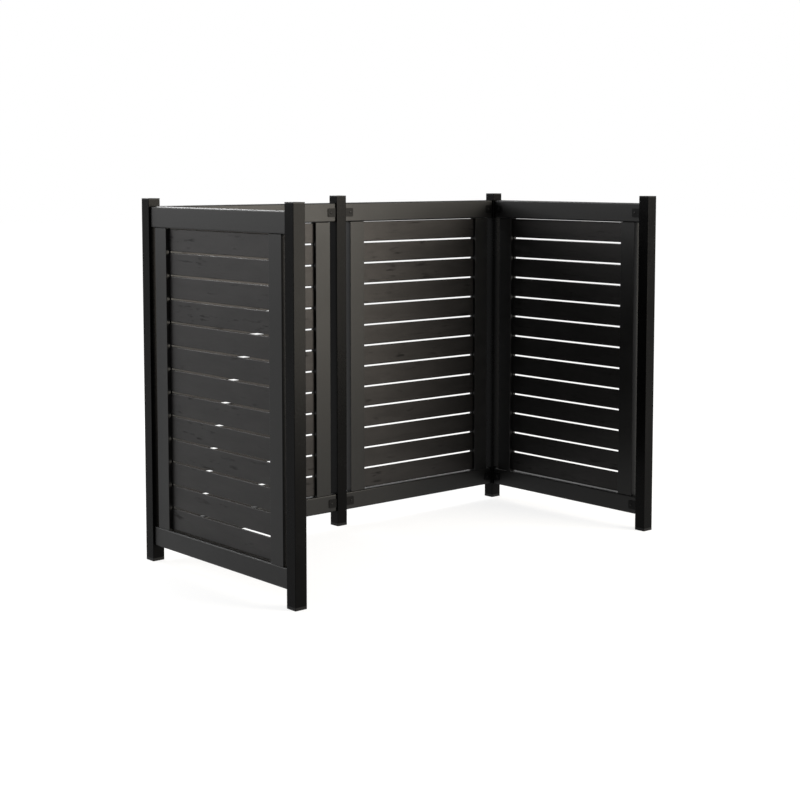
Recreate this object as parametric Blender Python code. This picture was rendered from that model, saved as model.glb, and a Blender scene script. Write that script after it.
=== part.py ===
"""Wheelie bin screen: a three-sided slatted enclosure that stands open at the front.

Five square posts carry four equal panels, one on the left, two along the back and one on the right.
Each panel is a pair of rails fixed to the posts by angle brackets, a pair of stiles that stand between
the rails a little way in from the posts, and a slatted board whose ends sit in the stiles' grooves.

X runs along the back wall, Y from the open front to the back wall, and Z is up. The origin is at the
middle of the outline, on the ground. Lengths are in metres.
"""
import math

import bmesh
import bpy
from mathutils import Vector

# Whole screen
screen_height = 1.200
panel_pitch = 0.780
clearance = 0.0003

# Posts
post_side = 0.043
post_wall = 0.002
post_corner_radius = 0.0015

# Post caps and feet
cap_flange_height = 0.004
cap_chamfer = 0.0006
foot_flange_height = 0.010
foot_chamfer = 0.001
plug_depth = 0.022
plug_wall = 0.002

# Rails
top_rail_height = 0.0688
bottom_rail_height = 0.0645
rail_thickness = 0.030
rail_wall = 0.002
rail_corner_radius = 0.005
top_rail_drop = 0.026
bottom_rail_clearance = 0.054

# Stiles
stile_width = 0.064
stile_thickness = 0.029
stile_wall = 0.0018
stile_corner_radius = 0.0012
stile_post_gap = 0.0255
groove_depth = 0.012

# Slatted boards
slat_count = 13
slot_height = 0.007
board_end_gap = 0.003
board_thickness = 0.006
slat_edge_radius = 0.0015
slot_end_cover = 0.001

# Angle brackets
bracket_height = 0.031
bracket_thickness = 0.002
bracket_rail_leg = 0.0355
bracket_post_leg = 0.026
bracket_bend_radius = 0.0025
bracket_corner_radius = 0.005
bracket_hole_radius = 0.0023
bracket_rail_hole_inset = 0.012
bracket_post_hole_inset = 0.009

# Facets
corner_steps = 4
edge_steps = 2
bend_steps = 4
hole_sides = 14

# Derived sizes and places
half_pitch = panel_pitch / 2
bay_length = panel_pitch - post_side
top_rail_centre = screen_height - top_rail_drop - top_rail_height / 2
bottom_rail_centre = bottom_rail_clearance + bottom_rail_height / 2
top_rail_underside = screen_height - top_rail_drop - top_rail_height
bottom_rail_top = bottom_rail_clearance + bottom_rail_height
rail_space = top_rail_underside - bottom_rail_top
rail_length = bay_length - 2 * (bracket_thickness + 2 * clearance)
stile_length = rail_space - 2 * clearance
stile_centre = bay_length / 2 - stile_post_gap - stile_width / 2
slat_length = bay_length - 2 * (stile_post_gap + stile_width)
board_height = rail_space - 2 * board_end_gap
board_length = slat_length + 2 * (groove_depth - clearance)
slat_height = (board_height - (slat_count - 1) * slot_height) / slat_count
slot_pitch = slat_height + slot_height
panel_middle_height = (top_rail_underside + bottom_rail_top) / 2
post_length = screen_height - cap_flange_height - foot_flange_height - 2 * clearance
hole_overrun = bracket_thickness

finishes = {
    "post_paint": ((0.016, 0.016, 0.017), 0.34),
    "rail_paint": ((0.020, 0.020, 0.020), 0.36),
    "slat_board": ((0.024, 0.023, 0.022), 0.42),
    "bracket_steel": ((0.008, 0.008, 0.008), 0.30),
    "cap_plastic": ((0.012, 0.012, 0.012), 0.48),
}


def finish(name):
    """The material of one kind of piece, a dielectric coat in the piece's own near-black."""
    material = bpy.data.materials.get(name)
    if material is None:
        colour, roughness = finishes[name]
        material = bpy.data.materials.new(name)
        material.use_nodes = True
        shader = material.node_tree.nodes["Principled BSDF"]
        shader.inputs["Base Color"].default_value = (*colour, 1)
        shader.inputs["Roughness"].default_value = roughness
        shader.inputs["Metallic"].default_value = 0
    return material


def arc(centre, radius, start, end, steps):
    """Points of an arc in a plane, from one angle to another."""
    turns = [start + (end - start) * step / steps for step in range(steps + 1)]
    return [(centre[0] + radius * math.cos(turn), centre[1] + radius * math.sin(turn)) for turn in turns]


def rounded_rectangle(width, depth, radius):
    """Outline of a rectangle about the origin with round corners, anticlockwise."""
    corners = ((1, 1, 0), (-1, 1, math.pi / 2), (-1, -1, math.pi), (1, -1, 3 * math.pi / 2))
    points = []
    for side_x, side_y, start in corners:
        centre = (side_x * (width / 2 - radius), side_y * (depth / 2 - radius))
        points += arc(centre, radius, start, start + math.pi / 2, corner_steps)
    return points


def as_mesh(name, shape, material_name):
    """Turn a bmesh into a mesh with its faces pointing out, smooth on its round stretches."""
    shape.normal_update()
    bmesh.ops.recalc_face_normals(shape, faces=shape.faces[:])
    mesh = bpy.data.meshes.new(name)
    shape.to_mesh(mesh)
    shape.free()
    mesh.materials.append(finish(material_name))
    mesh.shade_smooth()
    mesh.set_sharp_from_angle(angle=math.radians(35))
    return mesh


def extrusion(outlines, length):
    """A solid of constant section along Z about the origin. Outlines inside the first one are hollows."""
    shape = bmesh.new()
    edges = []
    for outline in outlines:
        loop = [shape.verts.new((x, y, -length / 2)) for x, y in outline]
        edges += [shape.edges.new((loop[k - 1], loop[k])) for k in range(len(loop))]
    bmesh.ops.triangle_fill(shape, use_beauty=True, use_dissolve=False, edges=edges)
    swept = bmesh.ops.extrude_face_region(shape, geom=shape.faces[:])
    moved = [item for item in swept["geom"] if isinstance(item, bmesh.types.BMVert)]
    bmesh.ops.translate(shape, verts=moved, vec=(0, 0, length))
    return shape


def loft(sections):
    """A solid through outlines of equal point counts, each at its own height, closed at both ends."""
    shape = bmesh.new()
    rings = [[shape.verts.new((x, y, height)) for x, y in outline] for outline, height in sections]
    for lower, upper in zip(rings, rings[1:]):
        for k in range(len(lower)):
            shape.faces.new((lower[k - 1], lower[k], upper[k], upper[k - 1]))
    shape.faces.new(rings[0])
    shape.faces.new(rings[-1])
    return shape


def carved(name, mesh, cutters):
    """A mesh with other meshes cut out of it."""
    block = bpy.data.objects.new(name, mesh)
    bpy.context.collection.objects.link(block)
    tools = []
    for cutter in cutters:
        tool = bpy.data.objects.new(name + "_cutter", cutter)
        tool.hide_render = True
        tool.display_type = "WIRE"
        bpy.context.collection.objects.link(tool)
        tools.append(tool)
        cut = block.modifiers.new("cut", "BOOLEAN")
        cut.operation = "DIFFERENCE"
        cut.solver = "EXACT"
        cut.object = tool
    view = bpy.context.evaluated_depsgraph_get()
    result = bpy.data.meshes.new_from_object(block.evaluated_get(view), depsgraph=view)
    result.name = name
    for item in [block] + tools:
        bpy.data.objects.remove(item)
    return result


def post_mesh():
    """Square tube with round corners, standing on the middle of its length."""
    outer = rounded_rectangle(post_side, post_side, post_corner_radius)
    bore = post_side - 2 * post_wall
    inner = rounded_rectangle(bore, bore, max(post_corner_radius - post_wall, post_wall / 2))
    return as_mesh("post", extrusion([outer, inner], post_length), "post_paint")


def plug_mesh(name, flange_height, chamfer):
    """Moulded end piece: a flange as wide as the post over a hollow plug that fills the tube.

    The shoulder that meets the tube's end is at height zero, and the flange rises from it.
    """
    bore = post_side - 2 * post_wall
    plug = bore - 2 * clearance
    plug_radius = max(post_corner_radius - post_wall, post_wall / 2)
    cavity = rounded_rectangle(plug - 2 * plug_wall, plug - 2 * plug_wall, plug_radius / 2)
    body = rounded_rectangle(plug, plug, plug_radius)
    flange = rounded_rectangle(post_side, post_side, post_corner_radius)
    rim = rounded_rectangle(post_side - 2 * chamfer, post_side - 2 * chamfer, post_corner_radius - chamfer)
    sections = [
        (cavity, -plug_wall),
        (cavity, -plug_depth),
        (body, -plug_depth),
        (body, 0),
        (flange, 0),
        (flange, flange_height - chamfer),
        (rim, flange_height),
    ]
    return as_mesh(name, loft(sections), "cap_plastic")


def rail_mesh(name, height):
    """Flat rectangular tube, its length along Z, its thickness along X and its height along Y."""
    outer = rounded_rectangle(rail_thickness, height, rail_corner_radius)
    bore_thickness = rail_thickness - 2 * rail_wall
    bore_height = height - 2 * rail_wall
    bore_radius = max(rail_corner_radius - rail_wall, rail_wall / 4)
    inner = rounded_rectangle(bore_thickness, bore_height, bore_radius)
    return as_mesh(name, extrusion([outer, inner], rail_length), "rail_paint")


def stile_mesh():
    """Hollow upright with a groove along its +X edge that takes the ends of the slats."""
    half_width = stile_width / 2
    half_thickness = stile_thickness / 2
    half_groove = board_thickness / 2 + clearance
    groove_bottom = half_width - groove_depth
    outer = rounded_rectangle(stile_width, stile_thickness, stile_corner_radius)
    groove = [
        (half_width, -half_groove),
        (groove_bottom, -half_groove),
        (groove_bottom, half_groove),
        (half_width, half_groove),
    ]
    outline = outer + groove
    far = half_width - stile_wall
    side = half_thickness - stile_wall
    step = half_groove + stile_wall
    back = groove_bottom - stile_wall
    hollow = [
        (stile_wall - half_width, -side),
        (far, -side),
        (far, -step),
        (back, -step),
        (back, step),
        (far, step),
        (far, side),
        (stile_wall - half_width, side),
    ]
    return as_mesh("stile", extrusion([outline, hollow], stile_length), "rail_paint")


def edge_profile(radius, thickness):
    """How far a rounded slat edge lies in from its widest line, at each depth through the board."""
    quarter = [step / edge_steps * math.pi / 2 for step in range(edge_steps + 1)]
    near = [(radius * (1 - math.sin(turn)), radius * (1 - math.cos(turn))) for turn in quarter]
    far = [(inset, thickness - depth) for inset, depth in reversed(near)]
    return near + far


def board_mesh():
    """Slatted board: slats with rounded edges, held at an even pitch by a narrow strip at each end.

    The length is along X, the thickness along Y and the height along Z, about the board's middle.
    """
    shape = bmesh.new()
    profile = edge_profile(slat_edge_radius, board_thickness)
    half_slot = slat_length / 2 + slot_end_cover
    slot_middles = [slot_pitch * (k - slat_count / 2) for k in range(1, slat_count)]

    def ring(half_length, low, high, outwards):
        """Rectangular loops through the board's thickness; the inset follows the rounded edge."""
        loops = []
        for inset, depth in profile:
            grow = -inset if outwards else inset
            y = depth - board_thickness / 2
            corners = ((-1, low - grow), (1, low - grow), (1, high + grow), (-1, high + grow))
            loops.append([shape.verts.new((side * (half_length + grow), y, z)) for side, z in corners])
        for near, far in zip(loops, loops[1:]):
            for k in range(4):
                shape.faces.new((near[k - 1], near[k], far[k], far[k - 1]))
        return loops

    border = ring(board_length / 2, -board_height / 2, board_height / 2, True)
    slots = [ring(half_slot, z - slot_height / 2, z + slot_height / 2, False) for z in slot_middles]
    for layer in (0, -1):
        loops = [border[layer]] + [slot[layer] for slot in slots]
        edges = [shape.edges.get((loop[k - 1], loop[k])) for loop in loops for k in range(4)]
        bmesh.ops.triangle_fill(shape, use_beauty=True, use_dissolve=False, edges=edges)
    return as_mesh("slatted_board", shape, "slat_board")


def bracket_mesh():
    """Angle bracket bent from flat bar, with a screw hole in each leg.

    The outer corner of the bend is at the origin. The post leg runs along +Y on the plane X = 0, and
    the rail leg runs along +X on the plane Y = 0, facing the bay.
    """
    bend = bracket_bend_radius
    inner_bend = max(bend - bracket_thickness, bracket_thickness / 4)
    outer_arc = arc((bend, bend), bend, 3 * math.pi / 2, math.pi, bend_steps)
    inner_centre = (bracket_thickness + inner_bend, bracket_thickness + inner_bend)
    inner_arc = arc(inner_centre, inner_bend, math.pi, 3 * math.pi / 2, bend_steps)
    outline = [(bracket_rail_leg, 0)] + outer_arc + [(0, bracket_post_leg), (bracket_thickness, bracket_post_leg)]
    outline += inner_arc + [(bracket_rail_leg, bracket_thickness)]
    shape = extrusion([outline], bracket_height)
    ends = []
    for edge in shape.edges:
        first, second = (vertex.co for vertex in edge.verts)
        level = abs(first.z - second.z) < clearance / 2
        on_rail_end = min(first.x, second.x) > bracket_rail_leg - clearance / 2
        on_post_end = min(first.y, second.y) > bracket_post_leg - clearance / 2
        if level and (on_rail_end or on_post_end):
            ends.append(edge)
    bmesh.ops.bevel(shape, geom=ends, offset=bracket_corner_radius, segments=corner_steps, affect="EDGES",
                    profile=0.5)
    blank = as_mesh("bracket_blank", shape, "bracket_steel")
    places = (
        (Vector((bracket_rail_leg - bracket_rail_hole_inset, bracket_thickness / 2, 0)), "Y"),
        (Vector((bracket_thickness / 2, bracket_post_leg - bracket_post_hole_inset, 0)), "X"),
    )
    drills = []
    for place, axis in places:
        drill = extrusion([arc((0, 0), bracket_hole_radius, 0, 2 * math.pi, hole_sides)[:-1]],
                          bracket_thickness + 2 * hole_overrun)
        for vertex in drill.verts:
            x, y, z = vertex.co
            vertex.co = Vector((x, z, y) if axis == "Y" else (z, x, y)) + place
        drills.append(as_mesh("bracket_drill", drill, "bracket_steel"))
    return carved("bracket", blank, drills)


def place(name, mesh, location, rotation=(0, 0, 0), parent=None):
    """Put one piece in the scene under its own name."""
    piece = bpy.data.objects.new(name, mesh)
    piece.location = location
    piece.rotation_euler = rotation
    piece.parent = parent
    bpy.context.collection.objects.link(piece)
    return piece


def build_posts(meshes):
    """Stand the five posts with a foot under each and a cap on top."""
    spots = {
        "front_left": (-panel_pitch, -half_pitch),
        "back_left": (-panel_pitch, half_pitch),
        "back_middle": (0, half_pitch),
        "back_right": (panel_pitch, half_pitch),
        "front_right": (panel_pitch, -half_pitch),
    }
    tube_bottom = foot_flange_height + clearance
    for spot, (x, y) in spots.items():
        place("post_" + spot, meshes["post"], (x, y, tube_bottom + post_length / 2))
        place("foot_" + spot, meshes["foot"], (x, y, foot_flange_height), (math.pi, 0, 0))
        place("cap_" + spot, meshes["cap"], (x, y, screen_height - cap_flange_height))


def build_panel(name, centre, turn, end_names, meshes):
    """Build one panel about an empty at its middle, whose -Y side faces the bay.

    The end names are those of the panel's -X and +X ends.
    """
    frame = bpy.data.objects.new(name + "_frame", None)
    frame.location = centre
    frame.rotation_euler = (0, 0, turn)
    bpy.context.collection.objects.link(frame)
    lying = (math.pi / 2, 0, math.pi / 2)
    bracket_face = rail_thickness / 2 + clearance + bracket_thickness
    bracket_end = bay_length / 2 - clearance
    for level, height in (("top", top_rail_centre), ("bottom", bottom_rail_centre)):
        place(f"{name}_{level}_rail", meshes[level + "_rail"], (0, 0, height), lying, frame)
        for end, side in zip(end_names, (-1, 1)):
            flip = 0 if side < 0 else math.pi
            corner = (side * bracket_end, -bracket_face, height)
            place(f"{name}_{level}_{end}_bracket", meshes["bracket"], corner, (0, flip, 0), frame)
    for end, side in zip(end_names, (-1, 1)):
        flip = 0 if side < 0 else math.pi
        foot = (side * stile_centre, 0, panel_middle_height)
        place(f"{name}_{end}_stile", meshes["stile"], foot, (0, 0, flip), frame)
    place(f"{name}_slats", meshes["board"], (0, 0, panel_middle_height), parent=frame)


def main():
    for item in list(bpy.data.objects):
        bpy.data.objects.remove(item)
    meshes = {
        "post": post_mesh(),
        "cap": plug_mesh("post_cap", cap_flange_height, cap_chamfer),
        "foot": plug_mesh("post_foot", foot_flange_height, foot_chamfer),
        "top_rail": rail_mesh("top_rail", top_rail_height),
        "bottom_rail": rail_mesh("bottom_rail", bottom_rail_height),
        "stile": stile_mesh(),
        "board": board_mesh(),
        "bracket": bracket_mesh(),
    }
    build_posts(meshes)
    quarter = math.pi / 2
    build_panel("left_panel", (-panel_pitch, 0, 0), quarter, ("front", "rear"), meshes)
    build_panel("back_left_panel", (-half_pitch, half_pitch, 0), 0, ("outer", "inner"), meshes)
    build_panel("back_right_panel", (half_pitch, half_pitch, 0), 0, ("inner", "outer"), meshes)
    build_panel("right_panel", (panel_pitch, 0, 0), -quarter, ("rear", "front"), meshes)


main()
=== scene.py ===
"""Looks of the wheelie bin screen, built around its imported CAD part. Lengths are in metres."""
import math

import bmesh
import bpy
from mathutils import Matrix, Vector


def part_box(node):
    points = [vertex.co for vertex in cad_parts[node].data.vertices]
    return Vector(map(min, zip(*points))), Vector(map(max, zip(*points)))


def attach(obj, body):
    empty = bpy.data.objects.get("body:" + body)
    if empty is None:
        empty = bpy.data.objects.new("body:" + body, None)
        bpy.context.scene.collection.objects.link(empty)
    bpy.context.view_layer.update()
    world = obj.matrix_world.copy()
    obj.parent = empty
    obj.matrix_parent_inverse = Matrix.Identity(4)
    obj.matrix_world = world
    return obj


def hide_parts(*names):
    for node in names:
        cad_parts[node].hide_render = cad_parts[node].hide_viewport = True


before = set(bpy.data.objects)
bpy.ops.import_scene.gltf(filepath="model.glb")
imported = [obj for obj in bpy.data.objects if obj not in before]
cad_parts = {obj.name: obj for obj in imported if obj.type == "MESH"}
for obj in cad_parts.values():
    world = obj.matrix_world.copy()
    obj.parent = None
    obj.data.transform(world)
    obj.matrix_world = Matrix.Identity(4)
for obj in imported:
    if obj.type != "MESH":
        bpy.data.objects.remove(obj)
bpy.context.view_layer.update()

# Camera, for a square picture
camera_place = (-3.5090, -4.0175, 1.2950)
camera_yaw = math.radians(40.800)
camera_pitch = math.radians(4.9315)
camera_lens = 70.421
camera_sensor = 36.0
camera_shift = (0.0, -0.12)

# Slatted boards. The slots are narrower than the CAD's, as the photograph shows them.
slat_count = 13
slot_height = 0.0053
slat_edge_radius = 0.0029
slat_edge_steps = 5
top_slat_rise = 0.0016
grain_step_in_panel = (3.7, 0, 0.9)
grain_step_by_panel = (1.3, 0, 5.1)

# Bracket screws
screw_head_radius = 0.0042
screw_head_height = 0.0017
screw_shank_radius = 0.0020
screw_length = 0.0110
screw_inset = 0.0235
screw_sides = 32
tip_radius_share = 0.5
dome_shares = ((1, 0), (1, 0.35), (0.93, 0.62), (0.78, 0.84), (0.55, 0.96), (0.30, 1))
recess_reach = 0.0021
recess_width = 0.0009
recess_depth = 0.0011
recess_taper_share = 0.55
cutter_top_share = 1.2
first_turn = 0.35
turn_by_name = 1.1
turn_by_height = 2

# Shading of round corners
corner_angle = math.radians(35)
screw_corner_angle = math.radians(40)
weld_distance = 0.00001
face_weight = 100

# Finishes: colour, roughness, specular level and, for painted metal, the strength of its orange peel
finish_values = {
    "post_paint": ((0.0018, 0.0018, 0.0018), 0.26, 0.042, 0.20),
    "frame_paint": ((0.0018, 0.0018, 0.0017), 0.42, 0.205, 0.20),
    "slat_board": ((0.0018, 0.0018, 0.0017), 0.45, 0.255),
    "bracket_paint": ((0.0015, 0.0015, 0.0015), 0.45, 0.08, 0.15),
    "end_plastic": ((0.0025, 0.0025, 0.0025), 0.40, 0.12),
    "screw_steel": ((0.0015, 0.0015, 0.0015), 0.35, 0.15, 0.10),
}
noise_middle = (0.3, 0.7)

# Painted metal. A noise is its cycles per metre along each axis, its detail, roughness and shift.
paint_cloud = ((7, 7, 7), 2.0)
paint_dust = ((90, 90, 90), 4.0, 0.6)
paint_peel = ((620, 620, 620), 2.0)
cloud_shade = (0.86, 1.14)
dust_shade = (0.92, 1.08)
cloud_gloss = 0.03
dust_gloss = 0.015
peel_depth = 0.00012

# Board. Its marks are strokes that show only in some patches.
board_fine = ((9, 700, 700), 4.0, 0.6)
board_band = ((2.2, 60, 60), 3.0, 0.5, (3.1, 1.7, 0.4))
board_patch = ((5, 14, 14), 2.0, 0.5, (7.7, 2.3, 5.1))
board_stroke = ((13, 75, 75), 3.0, 0.55, (1.9, 8.4, 2.6))
board_mottle = ((7, 26, 26), 3.0, 0.6, (4.3, 6.6, 0.8))
board_shade = (0.84, 1.16)
board_gloss = 0.05
board_sheen = (0.90, 1.00)
board_tint = (1.0, 0.95, 0.94)
fine_height = 0.6
band_height = 0.8
patch_range = (0.50, 0.60)
stroke_range = (0.57, 0.70)
mottle_range = (0.35, 0.65)
mottle_sheen = (0.80, 1.00)
mark_shade = 0.55
mark_gloss = 0.22
mark_height = -0.5
mark_sheen = 0.45
board_relief = 0.5
board_depth = 0.00025

# Plastic
plastic_pits = ((1500, 1500, 1500), 2.0, 0.5)
plastic_cloud = ((40, 40, 40), 2.0)
plastic_shade = (0.85, 1.15)
plastic_gloss = 0.06
plastic_relief = 0.35
pit_depth = 0.0001

# World and floor. The floor shines a little where it is seen, more far away than near.
white = (1, 1, 1)
ambient_strength = 0.35
white_strength = 1.0
floor_albedo = 0.25
floor_lift_near = 0.80
floor_lift_far = 0.94
floor_near = 1.5
floor_far = 6.0
floor_half_size = 30.0
floor_drop = 0.0002

# Lamps: name, place, what it points at, width, height, watts and colour
warm = (1.0, 0.925, 0.80)
bay_middle = (0, 0, 0.9)
lamps = (
    ("key", (2.0, -4.0, 2.30), bay_middle, 2.0, 1.0, 190, warm),
    ("key_right", (3.6, -4.0, 2.30), bay_middle, 1.0, 1.0, 58, warm),
    ("front_middle_left", (1.6, -4.0, 1.40), bay_middle, 1.0, 0.8, 37, warm),
    ("front_middle_right", (3.6, -4.0, 1.40), bay_middle, 1.0, 0.8, 31, warm),
    ("front_low", (1.8, -4.0, 0.55), bay_middle, 2.4, 0.9, 90, warm),
    ("back_left", (-3.4, 3.9, 2.30), bay_middle, 2.6, 1.2, 84, white),
    ("overhead", (0, 0, 4.0), (0, 0.1, 0), 3.0, 3.0, 28, white),
    ("rim", (-0.4, 3.6, 3.4), (-0.4, 0, 0.6), 2.6, 1.0, 150, white),
)

# Panels, each with the names of its two ends
panels = {
    "left_panel": ("front", "rear"),
    "back_left_panel": ("outer", "inner"),
    "back_right_panel": ("inner", "outer"),
    "right_panel": ("rear", "front"),
}


def tree_of(name):
    """A new material with an empty node tree, and that tree."""
    material = bpy.data.materials.new(name)
    material.use_nodes = True
    material.node_tree.nodes.clear()
    return material, material.node_tree


def add(tree, kind, settings=None, **inputs):
    """Add a node. Inputs are numbers, colours or other nodes' outputs, by socket name or as _index."""
    item = tree.nodes.new(kind)
    for key, value in (settings or {}).items():
        setattr(item, key, value)
    for key, value in inputs.items():
        socket = item.inputs[int(key[1:])] if key[0] == "_" else item.inputs[key.replace("_", " ")]
        if isinstance(value, bpy.types.NodeSocket):
            tree.links.new(value, socket)
        else:
            socket.default_value = value
    return item


def remapped(tree, value, low, high, start=0.0, end=1.0):
    """A value taken from one range to another, held within it."""
    item = add(tree, "ShaderNodeMapRange", {"clamp": True}, Value=value)
    item.inputs["From Min"].default_value = start
    item.inputs["From Max"].default_value = end
    item.inputs["To Min"].default_value = low
    item.inputs["To Max"].default_value = high
    return item.outputs["Result"]


def drift(tree, value, low, high):
    """Noise spread over a range, by the part of its own range that it mostly keeps to."""
    return remapped(tree, value, low, high, *noise_middle)


def noise(tree, vector, stretch, detail=3.0, rough=0.55, shift=(0, 0, 0)):
    """Noise whose frequency is set along each axis, in cycles per metre."""
    place = add(tree, "ShaderNodeMapping", {"vector_type": "POINT"}, Vector=vector)
    place.inputs["Scale"].default_value = stretch
    place.inputs["Location"].default_value = shift
    item = add(tree, "ShaderNodeTexNoise", {"noise_dimensions": "3D"}, Vector=place.outputs[0],
               Scale=1.0, Detail=detail, Roughness=rough)
    return item.outputs[0]


def tinted(tree, colour, amount):
    """A colour made lighter or darker by a value about one."""
    item = add(tree, "ShaderNodeVectorMath", {"operation": "SCALE"}, _0=colour)
    tree.links.new(amount, item.inputs["Scale"])
    return item.outputs[0]


def product(tree, first, second):
    """One value times another."""
    item = add(tree, "ShaderNodeMath", {"operation": "MULTIPLY"}, _0=first, _1=second)
    return item.outputs[0]


def total(tree, first, second):
    """One value plus another."""
    item = add(tree, "ShaderNodeMath", {"operation": "ADD"}, _0=first, _1=second)
    return item.outputs[0]


def surface(tree, colour, roughness, normal, specular):
    """The shader that all finishes share, joined to the material's output."""
    shader = add(tree, "ShaderNodeBsdfPrincipled", Base_Color=colour, Roughness=roughness, Normal=normal)
    shader.inputs["Specular IOR Level"].default_value = specular
    output = add(tree, "ShaderNodeOutputMaterial")
    tree.links.new(shader.outputs[0], output.inputs["Surface"])
    return shader


def painted_metal(name, colour, roughness, specular, peel):
    """Powder coat: an even dark colour, a fine orange-peel surface and a gloss that drifts a little."""
    material, tree = tree_of(name)
    place = add(tree, "ShaderNodeTexCoord").outputs["Object"]
    cloud = noise(tree, place, *paint_cloud)
    dust = noise(tree, place, *paint_dust)
    shade = product(tree, drift(tree, cloud, *cloud_shade), drift(tree, dust, *dust_shade))
    gloss = total(tree, drift(tree, cloud, roughness - cloud_gloss, roughness + cloud_gloss),
                  drift(tree, dust, -dust_gloss, dust_gloss))
    grain = noise(tree, place, *paint_peel)
    relief = add(tree, "ShaderNodeBump", Height=grain, Strength=peel, Distance=peel_depth)
    surface(tree, tinted(tree, colour, shade), gloss, relief.outputs[0], specular)
    return material


def slat_board(name, colour, roughness, specular):
    """Dark composite board: lengthwise grain, soft bands, a mottled sheen and a few darker strokes."""
    material, tree = tree_of(name)
    place = add(tree, "ShaderNodeAttribute", {"attribute_name": "grain"}).outputs["Vector"]
    fine = noise(tree, place, *board_fine)
    band = noise(tree, place, *board_band)
    patch = noise(tree, place, *board_patch)
    stroke = noise(tree, place, *board_stroke)
    mark = product(tree, remapped(tree, stroke, 0, 1, *stroke_range),
                   remapped(tree, patch, 0, 1, *patch_range))
    shade = product(tree, drift(tree, fine, *board_shade), drift(tree, band, *board_shade))
    shade = product(tree, shade, remapped(tree, mark, 1.0, mark_shade))
    gloss = total(tree, drift(tree, fine, roughness - board_gloss, roughness + board_gloss),
                  remapped(tree, mark, 0.0, mark_gloss))
    height = total(tree, product(tree, fine, fine_height), product(tree, band, band_height))
    height = total(tree, height, remapped(tree, mark, 0.0, mark_height))
    relief = add(tree, "ShaderNodeBump", Height=height, Strength=board_relief, Distance=board_depth)
    shader = surface(tree, tinted(tree, colour, shade), gloss, relief.outputs[0], specular)
    sheen = product(tree, drift(tree, fine, *board_sheen), remapped(tree, mark, 1.0, mark_sheen))
    mottle = noise(tree, place, *board_mottle)
    sheen = product(tree, sheen, remapped(tree, mottle, *mottle_sheen, *mottle_range))
    tree.links.new(tinted(tree, board_tint, sheen), shader.inputs["Specular Tint"])
    return material


def moulded_plastic(name, colour, roughness, specular):
    """Plain black plastic with the fine pitted grain of a moulding tool."""
    material, tree = tree_of(name)
    place = add(tree, "ShaderNodeTexCoord").outputs["Object"]
    pits = noise(tree, place, *plastic_pits)
    cloud = noise(tree, place, *plastic_cloud)
    gloss = drift(tree, pits, roughness - plastic_gloss, roughness + plastic_gloss)
    relief = add(tree, "ShaderNodeBump", Height=pits, Strength=plastic_relief, Distance=pit_depth)
    shade = drift(tree, cloud, *plastic_shade)
    surface(tree, tinted(tree, colour, shade), gloss, relief.outputs[0], specular)
    return material


def make_materials():
    """All finishes by name. Those without a maker here are painted metal."""
    makers = {"slat_board": slat_board, "end_plastic": moulded_plastic}
    return {name: makers.get(name, painted_metal)(name, *values)
            for name, values in finish_values.items()}


def finished_mesh(name, shape):
    """The mesh of a closed shape, with its faces pointing out."""
    bmesh.ops.recalc_face_normals(shape, faces=shape.faces[:])
    mesh = bpy.data.meshes.new(name)
    shape.to_mesh(mesh)
    shape.free()
    return mesh


def quarter_arc(centre, radius, start, steps):
    """Points of a quarter circle in a plane."""
    turns = [start + math.pi / 2 * step / steps for step in range(steps + 1)]
    return [(centre[0] + radius * math.cos(turn), centre[1] + radius * math.sin(turn)) for turn in turns]


def slat_mesh(name, length, thickness, height, offset):
    """One slat about its middle, long edges rounded. The offset makes its grain its own."""
    shape = bmesh.new()
    radius = slat_edge_radius
    outline = []
    corners = ((1, 1, 0), (-1, 1, math.pi / 2), (-1, -1, math.pi), (1, -1, 3 * math.pi / 2))
    for side_y, side_z, start in corners:
        centre = (side_y * (thickness / 2 - radius), side_z * (height / 2 - radius))
        outline += quarter_arc(centre, radius, start, slat_edge_steps)
    rings = [[shape.verts.new((x, y, z)) for y, z in outline] for x in (-length / 2, length / 2)]
    for k in range(len(outline)):
        shape.faces.new((rings[0][k - 1], rings[0][k], rings[1][k], rings[1][k - 1]))
    shape.faces.new(rings[0])
    shape.faces.new(rings[1])
    mesh = finished_mesh(name, shape)
    grain = mesh.attributes.new("grain", "FLOAT_VECTOR", "POINT")
    for vertex, value in zip(mesh.vertices, grain.data):
        value.vector = vertex.co + Vector(offset)
    mesh.shade_smooth()
    mesh.set_sharp_from_angle(angle=corner_angle)
    return mesh


def put(name, mesh, matrix, material):
    """Place a new piece in the row frame, on the one body, with its finish."""
    piece = bpy.data.objects.new(name, mesh)
    bpy.context.scene.collection.objects.link(piece)
    piece.matrix_world = matrix
    mesh.materials.append(material)
    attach(piece, "root")
    return piece


def panel_frame(panel):
    """Middle of a panel's board, the way along it, the way to the bay, and the board's sizes."""
    low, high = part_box(panel + "_slats")
    middle, size = (low + high) / 2, high - low
    along = 0 if size.x > size.y else 1
    across = 1 - along
    towards_bay = Vector((0, 0, 0))
    towards_bay[across] = -math.copysign(1, middle[across])
    direction = towards_bay.cross(Vector((0, 0, 1)))
    return middle, direction, towards_bay, (size[along], size[across], size.z)


def axes(origin, x_axis, y_axis):
    """Matrix with the given X and Y axes at a place."""
    z_axis = x_axis.cross(y_axis)
    matrix = Matrix((x_axis, y_axis, z_axis)).transposed().to_4x4()
    matrix.translation = origin
    return matrix


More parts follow.
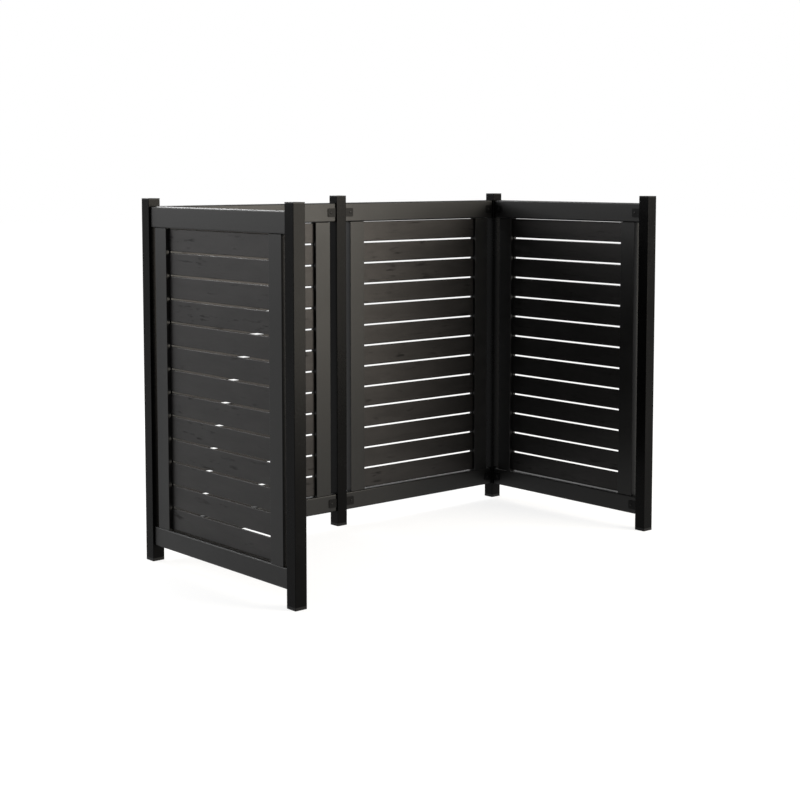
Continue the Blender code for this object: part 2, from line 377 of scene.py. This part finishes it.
def build_slats(panel, number, materials):
    """Thirteen loose slats in place of the joined board."""
    middle, direction, towards_bay, (length, thickness, board_height) = panel_frame(panel)
    slat_height = (board_height - (slat_count - 1) * slot_height) / slat_count
    pitch = slat_height + slot_height
    for k in range(slat_count):
        name = f"{panel}_slat_{k + 1:02d}"
        rise = top_slat_rise if k == slat_count - 1 else 0
        steps = zip(grain_step_in_panel, grain_step_by_panel)
        offset = [step * k + jump * number for step, jump in steps]
        mesh = slat_mesh(name, length, thickness, slat_height + rise, offset)
        place = middle + Vector((0, 0, (k - (slat_count - 1) / 2) * pitch + rise / 2))
        matrix = axes(place, direction, -towards_bay)
        piece = put(name, mesh, matrix, materials["slat_board"])
        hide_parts(panel + "_slats")
        weight_normals(piece)


def screw_mesh(name):
    """Domed screw head over a plain shank. The head's seat is at height zero."""
    profile = [(0, -screw_length), (screw_shank_radius * tip_radius_share, -screw_length),
               (screw_shank_radius, -screw_length + screw_shank_radius), (screw_shank_radius, 0)]
    profile += [(screw_head_radius * out, screw_head_height * up) for out, up in dome_shares]
    profile.append((0, screw_head_height))
    turns = [2 * math.pi * k / screw_sides for k in range(screw_sides)]
    shape = bmesh.new()
    rings = []
    for radius, height in profile:
        if radius == 0:
            rings.append([shape.verts.new((0, 0, height))])
        else:
            rings.append([shape.verts.new((radius * math.cos(t), radius * math.sin(t), height))
                          for t in turns])
    for lower, upper in zip(rings, rings[1:]):
        for k in range(screw_sides):
            corners = [lower[k - 1] if len(lower) > 1 else lower[0],
                       lower[k] if len(lower) > 1 else None,
                       upper[k] if len(upper) > 1 else upper[0],
                       upper[k - 1] if len(upper) > 1 else None]
            shape.faces.new([corner for corner in corners if corner is not None])
    return finished_mesh(name, shape)


def cross_mesh(name):
    """Tapered cross that cuts the recess of a screw head."""
    shape = bmesh.new()
    reach, half = recess_reach, recess_width / 2
    top, bottom = screw_head_height * cutter_top_share, screw_head_height - recess_depth
    outline = [(reach, -half), (reach, half), (half, half), (half, reach), (-half, reach), (-half, half),
               (-reach, half), (-reach, -half), (-half, -half), (-half, -reach), (half, -reach),
               (half, -half)]
    low = [shape.verts.new((x * recess_taper_share, y * recess_taper_share, bottom)) for x, y in outline]
    high = [shape.verts.new((x, y, top)) for x, y in outline]
    for k in range(len(outline)):
        shape.faces.new((low[k - 1], low[k], high[k], high[k - 1]))
    shape.faces.new(low)
    shape.faces.new(high)
    return finished_mesh(name, shape)


def recessed_screw():
    """The screw with its recess cut."""
    block = bpy.data.objects.new("screw_block", screw_mesh("screw_block"))
    tool = bpy.data.objects.new("screw_cutter", cross_mesh("screw_cutter"))
    for item in (block, tool):
        bpy.context.scene.collection.objects.link(item)
    cut = block.modifiers.new("cut", "BOOLEAN")
    cut.operation = "DIFFERENCE"
    cut.solver = "EXACT"
    cut.object = tool
    view = bpy.context.evaluated_depsgraph_get()
    mesh = bpy.data.meshes.new_from_object(block.evaluated_get(view), depsgraph=view)
    mesh.name = "bracket_screw"
    for item in (block, tool):
        bpy.data.objects.remove(item)
    mesh.shade_smooth()
    mesh.set_sharp_from_angle(angle=screw_corner_angle)
    return mesh


def build_screws(panel, ends, blank, materials):
    """A screw through the rail leg of each bracket, on the bay side, each turned its own way."""
    middle, direction, towards_bay, _ = panel_frame(panel)
    for level in ("top", "bottom"):
        for end in ends:
            bracket = f"{panel}_{level}_{end}_bracket"
            low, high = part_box(bracket)
            centre, half = (low + high) / 2, (high - low) / 2
            side = math.copysign(1, (centre - middle).dot(direction))
            reach = abs(half.dot(direction))
            depth = abs(half.dot(towards_bay))
            place = centre + direction * side * (reach - screw_inset) + towards_bay * depth
            angle = first_turn + turn_by_name * len(bracket) + centre.x + turn_by_height * centre.z
            turn = Matrix.Rotation(angle, 4, "Z")
            matrix = axes(place, direction, Vector((0, 0, 1)).cross(direction).cross(direction)) @ turn
            name = bracket.replace("_bracket", "_screw")
            put(name, blank.copy(), matrix, materials["screw_steel"])


def weight_normals(piece, keep_sharp=True):
    """Large flat faces set the shading where they meet a round edge."""
    weighted = piece.modifiers.new("weighted", "WEIGHTED_NORMAL")
    weighted.keep_sharp = keep_sharp
    weighted.weight = face_weight


def smooth_corners(piece):
    """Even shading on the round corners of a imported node, with its flat faces left flat."""
    weld = piece.modifiers.new("weld", "WELD")
    weld.merge_threshold = weld_distance
    split = piece.modifiers.new("split", "EDGE_SPLIT")
    split.split_angle = corner_angle
    split.use_edge_sharp = False
    weight_normals(piece, keep_sharp=False)
    piece.data.polygons.foreach_set("use_smooth", [True] * len(piece.data.polygons))


def dress_nodes(materials):
    """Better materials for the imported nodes, and even shading on their corners."""
    kinds = {"post": "post_paint", "cap": "end_plastic", "foot": "end_plastic"}
    endings = {"rail": "frame_paint", "stile": "frame_paint", "bracket": "bracket_paint",
               "slats": "slat_board"}
    for name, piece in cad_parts.items():
        slot = kinds.get(name.split("_")[0]) or endings[name.split("_")[-1]]
        piece.material_slots[0].material = materials[slot]
        smooth_corners(piece)


def make_camera():
    """The scene's camera, looking at the open front from the left."""
    data = bpy.data.cameras.new("camera")
    data.lens = camera_lens
    data.sensor_width = camera_sensor
    data.shift_x, data.shift_y = camera_shift
    camera = bpy.data.objects.new("camera", data)
    camera.location = camera_place
    camera.rotation_euler = (math.pi / 2 - camera_pitch, 0, -camera_yaw)
    bpy.context.scene.collection.objects.link(camera)
    bpy.context.scene.camera = camera


def seen_directly(tree):
    """One for camera, glossy and transmission rays, and zero for the rest."""
    path = add(tree, "ShaderNodeLightPath")
    seen = total(tree, path.outputs["Is Camera Ray"], path.outputs["Is Glossy Ray"])
    item = add(tree, "ShaderNodeMath", {"operation": "ADD", "use_clamp": True}, _0=seen,
               _1=path.outputs["Is Transmission Ray"])
    return item.outputs[0]


def make_world():
    """White where it is seen or mirrored, and a plain even light on the object."""
    world = bpy.data.worlds.new("studio")
    world.use_nodes = True
    bpy.context.scene.world = world
    tree = world.node_tree
    tree.nodes.clear()
    soft = add(tree, "ShaderNodeBackground", Color=(*white, 1), Strength=ambient_strength)
    bright = add(tree, "ShaderNodeBackground", Color=(*white, 1), Strength=white_strength)
    blend = add(tree, "ShaderNodeMixShader", _0=seen_directly(tree), _1=soft.outputs[0],
                _2=bright.outputs[0])
    output = add(tree, "ShaderNodeOutputWorld")
    tree.links.new(blend.outputs[0], output.inputs["Surface"])


def make_floor():
    """Pale floor that takes the object's shadow and grows whiter away from it."""
    shape = bmesh.new()
    bmesh.ops.create_grid(shape, x_segments=2, y_segments=2, size=floor_half_size)
    mesh = bpy.data.meshes.new("floor")
    shape.to_mesh(mesh)
    shape.free()
    floor = bpy.data.objects.new("floor", mesh)
    floor.location = (0, 0, -floor_drop)
    bpy.context.scene.collection.objects.link(floor)
    material, tree = tree_of("floor")
    paint = add(tree, "ShaderNodeBsdfDiffuse", Color=(floor_albedo, floor_albedo, floor_albedo, 1))
    place = add(tree, "ShaderNodeTexCoord").outputs["Object"]
    distance = add(tree, "ShaderNodeVectorMath", {"operation": "LENGTH"}, _0=place).outputs["Value"]
    fill = remapped(tree, distance, floor_lift_near, floor_lift_far, floor_near, floor_far)
    lift = add(tree, "ShaderNodeEmission", Color=(*white, 1),
               Strength=product(tree, seen_directly(tree), fill))
    both = add(tree, "ShaderNodeAddShader", _0=paint.outputs[0], _1=lift.outputs[0])
    output = add(tree, "ShaderNodeOutputMaterial")
    tree.links.new(both.outputs[0], output.inputs["Surface"])
    mesh.materials.append(material)


def softbox(name, place, target, width, height, power, colour):
    """A rectangular lamp at a place, turned to what it points at."""
    data = bpy.data.lights.new(name, "AREA")
    data.shape = "RECTANGLE"
    data.size, data.size_y = width, height
    data.energy = power
    data.color = colour
    lamp = bpy.data.objects.new(name, data)
    lamp.location = place
    lamp.rotation_euler = (Vector(target) - Vector(place)).to_track_quat("-Z", "Y").to_euler()
    bpy.context.scene.collection.objects.link(lamp)


make_camera()
make_world()
make_floor()
for lamp in lamps:
    softbox(*lamp)
finishes = make_materials()
dress_nodes(finishes)
blank_screw = recessed_screw()
for number, (panel, ends) in enumerate(panels.items()):
    build_slats(panel, number, finishes)
    build_screws(panel, ends, blank_screw, finishes)
bpy.data.meshes.remove(blank_screw)

bpy.context.scene.view_settings.view_transform = "Standard"
